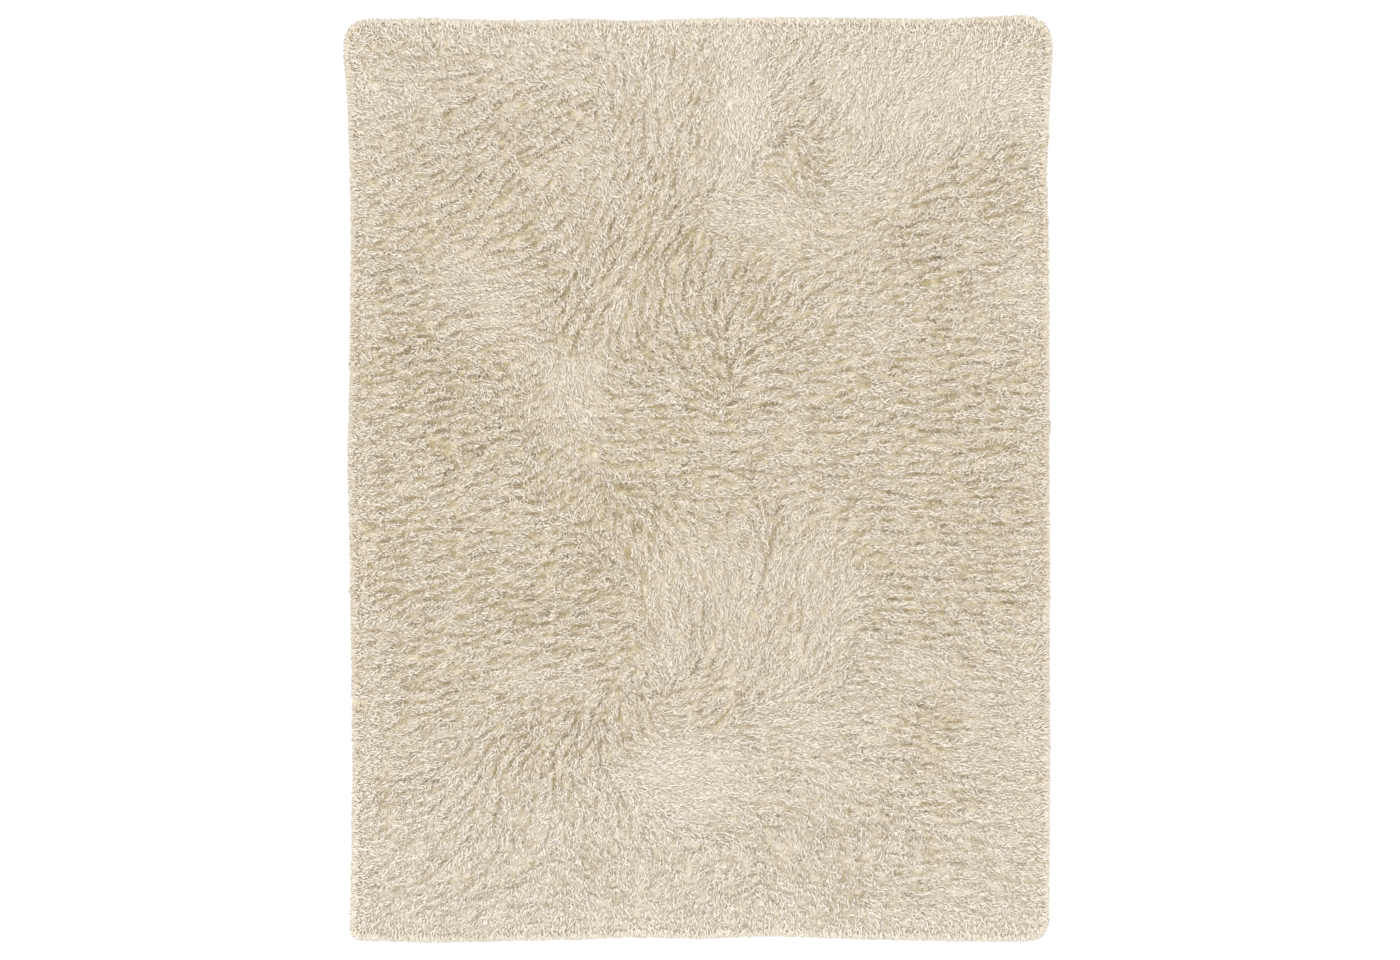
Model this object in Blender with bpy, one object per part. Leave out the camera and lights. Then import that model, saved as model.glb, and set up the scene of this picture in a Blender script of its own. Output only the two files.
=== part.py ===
# Shag rug of natural wool, lying flat on the floor.
# It is woven in one piece, so it is one solid: a lumpy slab of pile on a flat
# underside, with locks round its rim that fall to the floor and rest on it.
# X runs across the rug, Y along it and Z up. The origin is the centre of the
# underside. Everything is in metres.

import random
from math import atan2, ceil, cos, exp, hypot, pi, radians, sin

import bmesh
import bpy
from mathutils import Vector, noise

# Overall size, over the tips of the rim locks
OVERALL_WIDTH = 1.530
OVERALL_LENGTH = 2.000

# Pile heights above the floor
PILE_HEIGHT = 0.029  # usual height of the hollows between the tufts
SHOULDER_HEIGHT = 0.019  # where the top runs out into the rim locks
SHOULDER_REACH = 0.070  # how far in from the rim the pile begins to fall
COMBED_DROP = 0.004  # how much lower the pile lies where it is combed flat
COMBED_CALM = 0.45  # share by which combing levels the tufts and clumps

# Tufts and lumps in the top
GRID_PITCH = 0.028  # from tuft to hollow, and from lock to lock of the rim
TUFT_RISE = 0.011  # how far the highest tufts stand above the hollows round them
LOWEST_TUFT = 0.4  # the lowest tufts, as a share of that rise
TUFT_LEAN = 0.006  # how far a tuft leans with the lie of the pile
TUFT_SHIFT = 0.005  # how far tufts and hollows stray from an even grid
TUFT_SEED = 5
RIDGE_PITCH = 0.105  # from one clump of tufts to the next
RIDGE_LENGTH = 2.2  # how much longer a clump is along the lie of the pile
RIDGE_RISE = 0.0065
SWELL_PITCH = 0.42  # the broad, slow unevenness of the whole rug
SWELL_RISE = 0.004

# Locks round the rim
LOCK_REACH = 0.034  # usual length beyond the slab
LOCK_REACH_SPREAD = 0.20  # share by which the lengths differ
LOCK_BEND_AT = 0.52  # where along its length a lock has come down
LOCK_BEND_HEIGHT = 0.62  # its height there, as a share of its root's
LOCK_BEND_WIDTH = 0.80  # its width there, as a share of its root's
LOCK_SWAY = 0.012  # how far a whole stretch of tips swings to one side
LOCK_SWAY_PITCH = 0.25  # from one such stretch to the next
LOCK_STRAY = 0.004  # how far a single tip differs from its neighbours
LOCK_SEED = 11

# How far each edge of the photo's outline stays inside the overall size.
# "at" runs from 0 at the left or bottom end of an edge to 1 at the other end.
SIDE_SWAY = (
    {"at": 0.00, "left": 0.013, "right": 0.010},
    {"at": 0.09, "left": 0.017, "right": 0.007},
    {"at": 0.20, "left": 0.020, "right": 0.006},
    {"at": 0.34, "left": 0.016, "right": 0.007},
    {"at": 0.44, "left": 0.013, "right": 0.006},
    {"at": 0.52, "left": 0.009, "right": 0.008},
    {"at": 0.61, "left": 0.013, "right": 0.007},
    {"at": 0.76, "left": 0.016, "right": 0.009},
    {"at": 0.83, "left": 0.014, "right": 0.013},
    {"at": 0.91, "left": 0.008, "right": 0.006},
    {"at": 0.96, "left": 0.000, "right": 0.001},
    {"at": 1.00, "left": 0.004, "right": 0.003},
)
END_SWAY = (
    {"at": 0.00, "bottom": 0.006, "top": 0.011},
    {"at": 0.13, "bottom": 0.001, "top": 0.009},
    {"at": 0.26, "bottom": 0.006, "top": 0.014},
    {"at": 0.33, "bottom": 0.007, "top": 0.010},
    {"at": 0.41, "bottom": 0.013, "top": 0.014},
    {"at": 0.50, "bottom": 0.009, "top": 0.009},
    {"at": 0.60, "bottom": 0.015, "top": 0.007},
    {"at": 0.74, "bottom": 0.008, "top": 0.008},
    {"at": 0.85, "bottom": 0.004, "top": 0.010},
    {"at": 0.95, "bottom": 0.003, "top": 0.002},
    {"at": 1.00, "bottom": 0.006, "top": 0.005},
)
CORNERS = (
    {"side": -1, "end": 1, "radius": 0.055},
    {"side": 1, "end": 1, "radius": 0.060},
    {"side": 1, "end": -1, "radius": 0.045},
    {"side": -1, "end": -1, "radius": 0.035},
)

# The main patches of pile, as they lie in the photo. "lie" is the direction
# the tips point in, in degrees from +X. "combed" is 1 where the pile lies
# flat and smooth, and -1 where it stands open and ruffled.
PATCHES = (
    {"x": 0.39, "y": 0.81, "wide": 0.17, "long": 0.18, "lie": 60, "combed": 0.9},
    {"x": 0.11, "y": 0.87, "wide": 0.06, "long": 0.16, "lie": 85, "combed": 0.8},
    {"x": 0.12, "y": 0.54, "wide": 0.12, "long": 0.08, "lie": -50, "combed": 1.0},
    {"x": -0.05, "y": 0.65, "wide": 0.07, "long": 0.14, "lie": 80, "combed": -0.8},
    {"x": 0.22, "y": 0.67, "wide": 0.06, "long": 0.07, "lie": -80, "combed": -0.9},
    {"x": 0.60, "y": 0.63, "wide": 0.14, "long": 0.07, "lie": 0, "combed": -0.9},
    {"x": -0.02, "y": 0.48, "wide": 0.08, "long": 0.05, "lie": 45, "combed": -1.0},
    {"x": -0.27, "y": 0.21, "wide": 0.08, "long": 0.14, "lie": 90, "combed": 0.8},
    {"x": -0.50, "y": 0.09, "wide": 0.14, "long": 0.13, "lie": 215, "combed": -0.9},
    {"x": -0.09, "y": -0.03, "wide": 0.07, "long": 0.08, "lie": 120, "combed": -1.0},
    {"x": -0.34, "y": -0.30, "wide": 0.15, "long": 0.07, "lie": 200, "combed": -0.8},
    {"x": -0.06, "y": -0.64, "wide": 0.14, "long": 0.14, "lie": 25, "combed": 1.0},
    {"x": -0.32, "y": -0.57, "wide": 0.09, "long": 0.07, "lie": 240, "combed": -0.9},
    {"x": 0.36, "y": -0.80, "wide": 0.14, "long": 0.07, "lie": 30, "combed": 0.9},
)

PATCH_PULL = 2.0  # how strongly a patch turns the pile from its fall to the rim

WOOL_COLOUR = (0.66, 0.57, 0.44, 1.0)
WOOL_ROUGHNESS = 0.95


def clear_scene():
    for old in list(bpy.data.objects):
        bpy.data.objects.remove(old, do_unlink=True)


def read_between(rows, at, column):
    """The value of a column at a place between two rows of a table."""
    for low, high in zip(rows, rows[1:]):
        if at <= high["at"]:
            share = (at - low["at"]) / (high["at"] - low["at"])
            share = share * share * (3 - 2 * share)
            return low[column] + share * (high[column] - low[column])
    return rows[-1][column]


def on_outline(across, along, drawn_in):
    """Where a point of the unit square, -1 to 1 each way, lies on the slab.

    drawn_in is how far the slab ends inside the tips of its rim locks.
    """
    side_at = (along + 1) / 2
    end_at = (across + 1) / 2
    left = -OVERALL_WIDTH / 2 + drawn_in + read_between(SIDE_SWAY, side_at, "left")
    right = OVERALL_WIDTH / 2 - drawn_in - read_between(SIDE_SWAY, side_at, "right")
    bottom = -OVERALL_LENGTH / 2 + drawn_in + read_between(END_SWAY, end_at, "bottom")
    top = OVERALL_LENGTH / 2 - drawn_in - read_between(END_SWAY, end_at, "top")
    x = left + end_at * (right - left)
    y = bottom + side_at * (top - bottom)
    for corner in CORNERS:
        edge_x = right if corner["side"] > 0 else left
        edge_y = top if corner["end"] > 0 else bottom
        past_x = corner["side"] * (x - edge_x) + corner["radius"]
        past_y = corner["end"] * (y - edge_y) + corner["radius"]
        if past_x > 0 and past_y > 0:
            # squares about the corner's centre become quarter circles
            shrink = max(past_x, past_y) / hypot(past_x, past_y)
            x -= corner["side"] * past_x * (1 - shrink)
            y -= corner["end"] * past_y * (1 - shrink)
    return x, y


def patch_weight(patch, x, y):
    reach = hypot((x - patch["x"]) / patch["wide"], (y - patch["y"]) / patch["long"])
    return exp(-reach * reach)


def lie_of_pile(x, y):
    """(direction of the tips in radians, how far the pile is combed flat)."""
    # with no patch near, the pile falls outwards to the nearer edge
    lie = Vector((x / (OVERALL_WIDTH / 2), y / (OVERALL_LENGTH / 2)))
    combed = 0.0
    for patch in PATCHES:
        weight = patch_weight(patch, x, y)
        direction = radians(patch["lie"])
        lie += PATCH_PULL * weight * Vector((cos(direction), sin(direction)))
        combed += weight * patch["combed"]
    return atan2(lie.y, lie.x), max(-1.0, min(1.0, combed))


def pile_top(x, y, from_rim):
    """Height of the hollows between the tufts, falling in a soft shoulder at the rim."""
    lie, combed = lie_of_pile(x, y)
    along = x * cos(lie) + y * sin(lie)
    aside = y * cos(lie) - x * sin(lie)
    ridges = noise.noise(Vector((along / RIDGE_LENGTH, aside, 0.0)) / RIDGE_PITCH)
    swell = noise.noise(Vector((x, y, 0.0)) / SWELL_PITCH)
    height = (
        PILE_HEIGHT
        - COMBED_DROP * combed
        + SWELL_RISE * swell
        + RIDGE_RISE * (1 - COMBED_CALM * combed) * ridges
    )
    fall = sin(min(from_rim / SHOULDER_REACH, 1.0) * pi / 2)
    return SHOULDER_HEIGHT + (height - SHOULDER_HEIGHT) * fall


def spread_top(bm):
    """A grid drawn out to the rug's outline, with a tuft at every second crossing."""
    slab_width = OVERALL_WIDTH - 2 * LOCK_REACH
    slab_length = OVERALL_LENGTH - 2 * LOCK_REACH
    columns = ceil(slab_width / GRID_PITCH)
    rows = ceil(slab_length / GRID_PITCH)
    bmesh.ops.create_grid(bm, x_segments=columns, y_segments=rows, size=1.0)
    chance = random.Random(TUFT_SEED)
    for vertex in bm.verts:
        across, along = vertex.co.x, vertex.co.y
        x, y = on_outline(across, along, LOCK_REACH)
        from_rim = min((1 - abs(across)) * slab_width, (1 - abs(along)) * slab_length) / 2
        top = Vector((x, y, pile_top(x, y, from_rim)))
        if from_rim > GRID_PITCH / 2:
            top.x += chance.uniform(-TUFT_SHIFT, TUFT_SHIFT)
            top.y += chance.uniform(-TUFT_SHIFT, TUFT_SHIFT)
            column = round((across + 1) / 2 * columns)
            row = round((along + 1) / 2 * rows)
            if (column + row) % 2 == 0:
                lie, combed = lie_of_pile(x, y)
                top += TUFT_LEAN * Vector((cos(lie), sin(lie), 0.0))
                rise = TUFT_RISE * chance.uniform(LOWEST_TUFT, 1.0)
                top.z += rise * (1 - COMBED_CALM * combed)
        vertex.co = top
    bmesh.ops.triangulate(bm, faces=bm.faces)


def drop_rim(bm):
    """Walls from the rim down to the floor, and the flat underside. Returns the walls."""
    rim = [edge for edge in bm.edges if edge.is_boundary]
    dropped = bmesh.ops.extrude_edge_only(bm, edges=rim)["geom"]
    walls = [item for item in dropped if isinstance(item, bmesh.types.BMFace)]
    for item in dropped:
        if isinstance(item, bmesh.types.BMVert):
            item.co.z = 0.0
    floor_rim = [edge for edge in bm.edges if edge.is_boundary]
    bmesh.ops.triangle_fill(bm, edges=floor_rim, use_beauty=True, use_dissolve=False)
    bmesh.ops.recalc_face_normals(bm, faces=bm.faces)
    return walls


def pull_locks(bm, walls):
    """Draws each wall out into a lock of four sides that comes down to the floor."""
    chance = random.Random(LOCK_SEED)
    tips = bmesh.ops.extrude_discrete_faces(bm, faces=walls)["faces"]
    for face in tips:
        outward = Vector((face.normal.x, face.normal.y, 0.0)).normalized()
        sideways = Vector((-outward.y, outward.x, 0.0))
        reach = LOCK_REACH * (1 + LOCK_REACH_SPREAD * chance.uniform(-1, 1))
        middle = face.calc_center_median()
        middle.z = 0.0
        stretch_sway = LOCK_SWAY * noise.noise(middle / LOCK_SWAY_PITCH)
        sway = sideways * (stretch_sway + LOCK_STRAY * chance.uniform(-1, 1))
        for vertex in face.verts:
            offset = vertex.co - middle
            aside = sideways * offset.dot(sideways) * LOCK_BEND_WIDTH
            bend = outward * reach * LOCK_BEND_AT + sway * LOCK_BEND_AT**2
            vertex.co = middle + aside + bend
            vertex.co.z = offset.z * LOCK_BEND_HEIGHT
        tip = bmesh.ops.poke(bm, faces=[face])["verts"][0]
        tip.co = middle + outward * reach + sway


def fit_to_size(bm):
    """Trims the last millimetres, so that the lock tips reach just the overall size."""
    low = Vector(min(v.co[i] for v in bm.verts) for i in range(2))
    high = Vector(max(v.co[i] for v in bm.verts) for i in range(2))
    for vertex in bm.verts:
        vertex.co.x = ((vertex.co.x - low.x) / (high.x - low.x) - 0.5) * OVERALL_WIDTH
        vertex.co.y = ((vertex.co.y - low.y) / (high.y - low.y) - 0.5) * OVERALL_LENGTH


def wool():
    material = bpy.data.materials.new("natural_wool")
    material.use_nodes = True
    shader = material.node_tree.nodes["Principled BSDF"]
    shader.inputs["Base Color"].default_value = WOOL_COLOUR
    shader.inputs["Roughness"].default_value = WOOL_ROUGHNESS
    shader.inputs["Metallic"].default_value = 0.0
    return material


def build_rug():
    bm = bmesh.new()
    spread_top(bm)
    walls = drop_rim(bm)
    pull_locks(bm, walls)
    fit_to_size(bm)
    mesh = bpy.data.meshes.new("shag_rug")
    bm.to_mesh(mesh)
    bm.free()
    mesh.materials.append(wool())
    rug = bpy.data.objects.new("shag_rug", mesh)
    bpy.context.scene.collection.objects.link(rug)
    mesh.shade_smooth()
    return rug


clear_scene()
build_rug()
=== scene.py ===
from math import pi

import bmesh
import bpy
import numpy as np
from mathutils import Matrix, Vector, kdtree, noise


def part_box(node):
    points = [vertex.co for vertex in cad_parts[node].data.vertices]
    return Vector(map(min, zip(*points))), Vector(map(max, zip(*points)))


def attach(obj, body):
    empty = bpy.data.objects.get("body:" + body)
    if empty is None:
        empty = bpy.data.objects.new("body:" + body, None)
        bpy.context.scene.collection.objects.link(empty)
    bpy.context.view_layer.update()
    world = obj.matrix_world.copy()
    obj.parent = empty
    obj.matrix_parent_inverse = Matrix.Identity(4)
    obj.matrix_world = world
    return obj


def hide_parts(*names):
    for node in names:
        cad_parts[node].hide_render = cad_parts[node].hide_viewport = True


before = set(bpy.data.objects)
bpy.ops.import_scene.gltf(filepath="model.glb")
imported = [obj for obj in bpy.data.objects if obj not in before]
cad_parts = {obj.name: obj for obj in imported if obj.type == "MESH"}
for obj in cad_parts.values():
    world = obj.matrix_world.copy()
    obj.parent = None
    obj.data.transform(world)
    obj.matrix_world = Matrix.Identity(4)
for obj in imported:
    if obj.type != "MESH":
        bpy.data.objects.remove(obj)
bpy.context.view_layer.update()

# Shag rug of natural wool, seen from straight above. All sizes are in metres.
# X runs across the rug, Y along it, and the floor is at z = 0.

rugLow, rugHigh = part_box("shag_rug")


# The rug's outline and the way its pile lies

outline = {
    # how far each edge stays inside the overall size: place along the edge, then two sides
    "sideAt": [0.00, 0.09, 0.20, 0.34, 0.44, 0.52, 0.61, 0.76, 0.83, 0.91, 0.96, 1.00],
    "left": [0.013, 0.017, 0.020, 0.016, 0.013, 0.009, 0.013, 0.016, 0.014, 0.008, 0.000, 0.004],
    "right": [0.010, 0.007, 0.006, 0.007, 0.006, 0.008, 0.007, 0.009, 0.013, 0.006, 0.001, 0.003],
    "endAt": [0.00, 0.13, 0.26, 0.33, 0.41, 0.50, 0.60, 0.74, 0.85, 0.95, 1.00],
    "bottom": [0.006, 0.001, 0.006, 0.007, 0.013, 0.009, 0.015, 0.008, 0.004, 0.003, 0.006],
    "top": [0.011, 0.009, 0.014, 0.010, 0.014, 0.009, 0.007, 0.008, 0.010, 0.002, 0.005],
    # the corners: -1 or 1 for the side, -1 or 1 for the end, and the radius
    "corners": [[-1, -1, 0.035], [1, -1, 0.045], [-1, 1, 0.055], [1, 1, 0.060]],
}

# Patches of pile as they lie in the photo: x, y, half width, half length, the way the
# tips point in degrees from +X, and how flat it is combed, from 1 down to -1 for ruffled
patches = [
    [0.41, 0.79, 0.15, 0.18, 70, 0.45],
    [0.65, 0.83, 0.10, 0.09, 40, 0.7],
    [0.10, 0.79, 0.06, 0.14, 88, 0.9],
    [0.13, 0.54, 0.14, 0.08, -48, 0.6],
    [-0.68, 0.84, 0.10, 0.07, 160, 0.7],
    [-0.30, 0.77, 0.09, 0.14, 165, 0.4],
    [-0.43, 0.34, 0.09, 0.08, 170, 0.6],
    [-0.27, 0.21, 0.09, 0.11, 95, 0.75],
    [-0.52, 0.44, 0.10, 0.06, 170, 0.5],
    [0.37, 0.29, 0.07, 0.06, 5, 0.25],
    [-0.04, -0.61, 0.15, 0.12, 25, 1.0],
    [-0.18, -0.82, 0.08, 0.10, -90, -0.1],
    [0.35, -0.80, 0.14, 0.08, -100, -0.2],
    [0.48, -0.90, 0.13, 0.07, 8, 0.1],
    [0.54, -0.67, 0.11, 0.07, 0, -0.25],
    [0.00, -0.87, 0.09, 0.06, -130, 0.1],
    [0.19, -0.41, 0.13, 0.08, 80, 0.45],
    [0.29, -0.26, 0.08, 0.10, 95, 0.5],
    [0.48, -0.39, 0.08, 0.06, 0, 0.5],
    [-0.64, -0.56, 0.09, 0.06, 180, 0.2],
    [-0.34, -0.43, 0.13, 0.05, 180, 0.4],
    [-0.04, 0.79, 0.07, 0.11, 80, -0.05],
    [0.22, 0.67, 0.07, 0.09, -85, -0.4],
    [0.62, 0.62, 0.14, 0.08, 0, -0.4],
    [0.47, 0.46, 0.06, 0.07, -10, -0.7],
    [-0.03, 0.48, 0.10, 0.07, 50, -1.0],
    [0.11, 0.36, 0.07, 0.12, 15, -0.49],
    [-0.44, 0.57, 0.10, 0.09, 150, -0.3],
    [-0.48, 0.77, 0.12, 0.10, 155, -0.49],
    [-0.56, 0.24, 0.11, 0.09, 185, -0.9],
    [-0.49, 0.06, 0.15, 0.12, 205, -0.4],
    [-0.27, 0.34, 0.09, 0.07, 70, -0.42],
    [-0.09, -0.03, 0.07, 0.10, 120, -0.7],
    [-0.20, -0.11, 0.06, 0.07, 90, -0.75],
    [-0.58, -0.21, 0.16, 0.10, 185, -0.35],
    [-0.32, -0.29, 0.13, 0.07, 195, -0.75],
    [-0.33, -0.57, 0.10, 0.07, 250, -0.45],
    [0.40, 0.21, 0.06, 0.05, 0, -0.3],
    [0.36, 0.06, 0.13, 0.06, 0, 0.1],
    [0.43, -0.30, 0.10, 0.05, 0, -0.15],
    [0.05, -0.51, 0.07, 0.05, 30, -0.6],
    [-0.64, 0.40, 0.09, 0.07, 180, -0.1],
    [-0.43, 0.17, 0.09, 0.08, 45, -0.15],
    [-0.32, 0.03, 0.09, 0.08, 50, 0.1],
    [0.05, -0.24, 0.10, 0.10, 88, 0.45],
    [-0.41, -0.70, 0.10, 0.08, 265, 0.0],
    [0.13, -0.73, 0.09, 0.05, -5, -0.3],
    [0.20, 0.90, 0.08, 0.07, 50, 0.1],
    [-0.16, 0.40, 0.07, 0.07, 65, 0.25],
    [0.00, 0.28, 0.10, 0.14, 165, -0.25],
    [-0.04, 0.09, 0.12, 0.12, 180, -0.1],
    [0.12, 0.15, 0.11, 0.09, 0, 0.0],
    [0.08, -0.13, 0.10, 0.06, 150, 0.0],
    [0.20, -0.16, 0.09, 0.08, 60, 0.35],
    [-0.08, -0.30, 0.05, 0.14, 100, 0.4],
    [0.27, -0.55, 0.12, 0.10, 0, 0.45],
    [-0.13, -0.53, 0.07, 0.06, 275, -0.5],
    [0.68, 0.38, 0.08, 0.12, 0, 0.4],
    [0.35, 0.61, 0.08, 0.06, -10, 0.3],
    [-0.67, 0.90, 0.08, 0.08, 150, -0.7],
    [-0.33, 0.77, 0.08, 0.08, 140, -0.7],
    [0.67, -0.54, 0.10, 0.14, 0, 0.6],
]

lie = {
    "patchPull": 2.4,  # how strongly a patch turns the pile from its fall to the rim
    "rimReach": 0.040,  # how far in from the rim the pile is brushed outwards
    "rimPull": 4.0,
    "rimTurned": 0.8,  # how much of its own lie the pile loses at the rim
    "rimCalmed": 0.7,  # how much of its chance turns it loses there
    "rimEvened": 0.6,  # how much of combed and ruffled it loses there
    "rimCombed": 0.25,
    "swirl": 0.55,  # chance turns of the lie, in radians
    "swirlPitch": 0.11,
    "combedSwell": 0.25,  # chance changes of combed and ruffled
    "combedPitch": 0.085,
    # along the rug, from its lower end to its upper: where, how flat and how pale
    "combedAt": [-1.0, -0.75, -0.55, 0.0, 0.5, 0.9],
    "combedAlong": [-0.10, -0.14, -0.25, -0.35, -0.25, -0.10],
    "paleAlong": [1.0, 0.8, 0.15, 0.0, 0.0, 0.5],
}

pile = {
    "height": 0.036,
    "rimHeight": 0.005,  # the height of the pile where it ends
    "shoulder": 0.075,  # how far in from the rim it begins to fall
    "roundness": 0.8,
    "combedDrop": 0.004,
    "swell": 0.004,
    "swellPitch": 0.42,
}

# each use of the noise reads a layer of its own
noiseLayer = {"height": 0.0, "swirl": 1.3, "combed": 2.6, "tone": 9.2}


def noiseAt(x, y, pitch, layer):
    spots = zip((x / pitch).tolist(), (y / pitch).tolist())
    return np.array([noise.noise((a, b, layer)) for a, b in spots])


def nearnessTo(x, y, atX, atY, wide, long):
    return np.exp(-((x - atX) / wide) ** 2 - ((y - atY) / long) ** 2)


def blend(values, name, ruffle):
    # a value between the one for combed pile and the one for ruffled
    combed, ruffled = values[name + "Combed"], values[name + "Ruffled"]
    return combed + (ruffled - combed) * ruffle


def edgesAt(x, y):
    alongSide = (y - rugLow.y) / (rugHigh.y - rugLow.y)
    alongEnd = (x - rugLow.x) / (rugHigh.x - rugLow.x)
    left = rugLow.x + np.interp(alongSide, outline["sideAt"], outline["left"])
    right = rugHigh.x - np.interp(alongSide, outline["sideAt"], outline["right"])
    bottom = rugLow.y + np.interp(alongEnd, outline["endAt"], outline["bottom"])
    top = rugHigh.y - np.interp(alongEnd, outline["endAt"], outline["top"])
    return left, right, bottom, top


def distanceInside(x, y):
    left, right, bottom, top = edgesAt(x, y)
    inside = np.minimum(np.minimum(x - left, right - x), np.minimum(y - bottom, top - y))
    for side, end, radius in outline["corners"]:
        pastX = radius - (right - x if side > 0 else x - left)
        pastY = radius - (top - y if end > 0 else y - bottom)
        inCorner = (pastX > 0) & (pastY > 0)
        inside = np.where(inCorner, radius - np.hypot(pastX, pastY), inside)
    return inside


def outwardAt(x, y):
    # the way to the nearest edge, turning gradually at a corner
    left, right, bottom, top = edgesAt(x, y)
    near = 0.030
    outX = np.exp((x - right) / near) - np.exp((left - x) / near)
    outY = np.exp((y - top) / near) - np.exp((bottom - y) / near)
    length = np.hypot(outX, outY) + 1e-9
    return outX / length, outY / length


def lieAt(x, y):
    # direction of the tips in radians, and how flat the pile is combed
    lieX, lieY = x / rugHigh.x, y / rugHigh.y
    combed = np.interp(y / rugHigh.y, lie["combedAt"], lie["combedAlong"])
    for patchX, patchY, wide, long, angle, flat in patches:
        weight = nearnessTo(x, y, patchX, patchY, wide, long)
        lieX = lieX + lie["patchPull"] * weight * np.cos(np.radians(angle))
        lieY = lieY + lie["patchPull"] * weight * np.sin(np.radians(angle))
        combed += weight * flat
    nearRim = np.exp(-((distanceInside(x, y).clip(0) / lie["rimReach"]) ** 2))
    outX, outY = outwardAt(x, y)
    own = 1 - lie["rimTurned"] * nearRim
    lieX = lieX * own + lie["rimPull"] * nearRim * outX
    lieY = lieY * own + lie["rimPull"] * nearRim * outY
    turn = lie["swirl"] * noiseAt(x, y, lie["swirlPitch"], noiseLayer["swirl"])
    turn = turn * (1 - lie["rimCalmed"] * nearRim)
    combed += lie["combedSwell"] * noiseAt(x, y, lie["combedPitch"], noiseLayer["combed"])
    combed = combed * (1 - lie["rimEvened"] * nearRim) + lie["rimCombed"] * nearRim
    return np.arctan2(lieY, lieX) + turn, np.tanh(combed)


def pileTop(x, y, combed):
    fall = np.sin((distanceInside(x, y) / pile["shoulder"]).clip(0, 1) * pi / 2)
    height = pile["height"] - pile["combedDrop"] * combed
    height = height + pile["swell"] * noiseAt(x, y, pile["swellPitch"], noiseLayer["height"])
    return pile["rimHeight"] + (height - pile["rimHeight"]) * fall ** pile["roundness"]


# Materials

def linear(hexColour):
    channels = [int(hexColour[i:i + 2], 16) / 255 for i in (1, 3, 5)]
    return [c / 12.92 if c <= 0.04045 else ((c + 0.055) / 1.055) ** 2.4 for c in channels] + [1.0]


def addNode(material, kind, settings=None, inputs=None):
    node = material.node_tree.nodes.new(kind)
    for name, value in (settings or {}).items():
        setattr(node, name, value)
    for name, value in (inputs or {}).items():
        if isinstance(value, bpy.types.NodeSocket):
            material.node_tree.links.new(value, node.inputs[name])
        else:
            node.inputs[name].default_value = value
    return node


def setRamp(node, stops):
    ramp = node.color_ramp
    while len(ramp.elements) < len(stops):
        ramp.elements.new(0.5)
    for element, (place, colour) in zip(ramp.elements, stops):
        element.position = place
        element.color = linear(colour)


wool = {
    # from root to tip; the tan of the root and low colours is painted shade deep in the pile
    "tip": "#FAF6F1",
    "middle": "#F8F4EC",
    "low": "#EEE6D7",
    "root": "#C0AE86",
    "darkLock": "#D9D0C4",
    "usualLock": "#F9F5EF",
    "lightLock": "#FFFFFF",
    "tones": 64,  # how many tones of lock there are, side by side in the map
    "fibresAcross": 4,  # fibres that show across a lock
    "darkFibre": "#F1ECE0",
    "lightFibre": "#FFFFFF",
    "sheenTint": "#FFF8EE",
}


def newMaterial(name, roughness):
    material = bpy.data.materials.new(name)
    material.use_nodes = True
    material.node_tree.nodes.clear()
    shader = addNode(material, "ShaderNodeBsdfPrincipled", inputs={"Roughness": roughness})
    addNode(material, "ShaderNodeOutputMaterial", inputs={"Surface": shader.outputs["BSDF"]})
    return material, shader


def multiply(material, first, second):
    mixed = addNode(
        material,
        "ShaderNodeMix",
        {"data_type": "RGBA", "blend_type": "MULTIPLY"},
        {"Factor": 1.0, "A": first, "B": second},
    )
    return mixed.outputs["Result"]


def dress(material, shader, colour, height, strength, depth):
    # the colour of a material and its relief
    bump = addNode(
        material,
        "ShaderNodeBump",
        inputs={"Height": height, "Strength": strength, "Distance": depth},
    )
    material.node_tree.links.new(colour, shader.inputs["Base Color"])
    material.node_tree.links.new(bump.outputs["Normal"], shader.inputs["Normal"])


def lockWool():
    # felted wool: matt, slightly fuzzy, cream at the tips and darkened to tan towards the root, a
    # painted shade deep in the pile
    material, shader = newMaterial("felted_wool_lock", 0.9)
    place = addNode(material, "ShaderNodeUVMap", {"uv_map": "OFBake"})
    split = addNode(material, "ShaderNodeSeparateXYZ", inputs={"Vector": place.outputs["UV"]})
    # painted shade: each lock darkens to tan towards its root
    along = addNode(material, "ShaderNodeValToRGB", inputs={"Fac": split.outputs["Y"]})
    setRamp(along, [
        [0.10, wool["root"]], [0.38, wool["low"]], [0.66, wool["middle"]], [1.0, wool["tip"]],
    ])
    tone = addNode(material, "ShaderNodeValToRGB", inputs={"Fac": split.outputs["X"]})
    setRamp(tone, [[0.0, wool["darkLock"]], [0.5, wool["usualLock"]], [1.0, wool["lightLock"]]])
    tinted = multiply(material, along.outputs["Color"], tone.outputs["Color"])
    # fibres run along the lock: fine across it, drawn out along it
    stretch = (wool["tones"] * wool["fibresAcross"], 3, 1)
    stretched = addNode(
        material, "ShaderNodeMapping", inputs={"Vector": place.outputs["UV"], "Scale": stretch}
    )
    fibres = addNode(
        material,
        "ShaderNodeTexNoise",
        {"noise_dimensions": "2D"},
        {"Vector": stretched.outputs["Vector"], "Scale": 1.0, "Detail": 2.0},
    )
    streak = addNode(material, "ShaderNodeValToRGB", inputs={"Fac": fibres.outputs["Fac"]})
    setRamp(streak, [[0.30, wool["darkFibre"]], [0.62, wool["lightFibre"]]])
    streaked = multiply(material, tinted, streak.outputs["Color"])
    dress(material, shader, streaked, fibres.outputs["Fac"], strength=0.5, depth=0.0006)
    shader.inputs["Sheen Weight"].default_value = 0.8
    shader.inputs["Sheen Roughness"].default_value = 0.4
    shader.inputs["Sheen Tint"].default_value = linear(wool["sheenTint"])
    shader.inputs["Specular IOR Level"].default_value = 0.25
    return material


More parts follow.
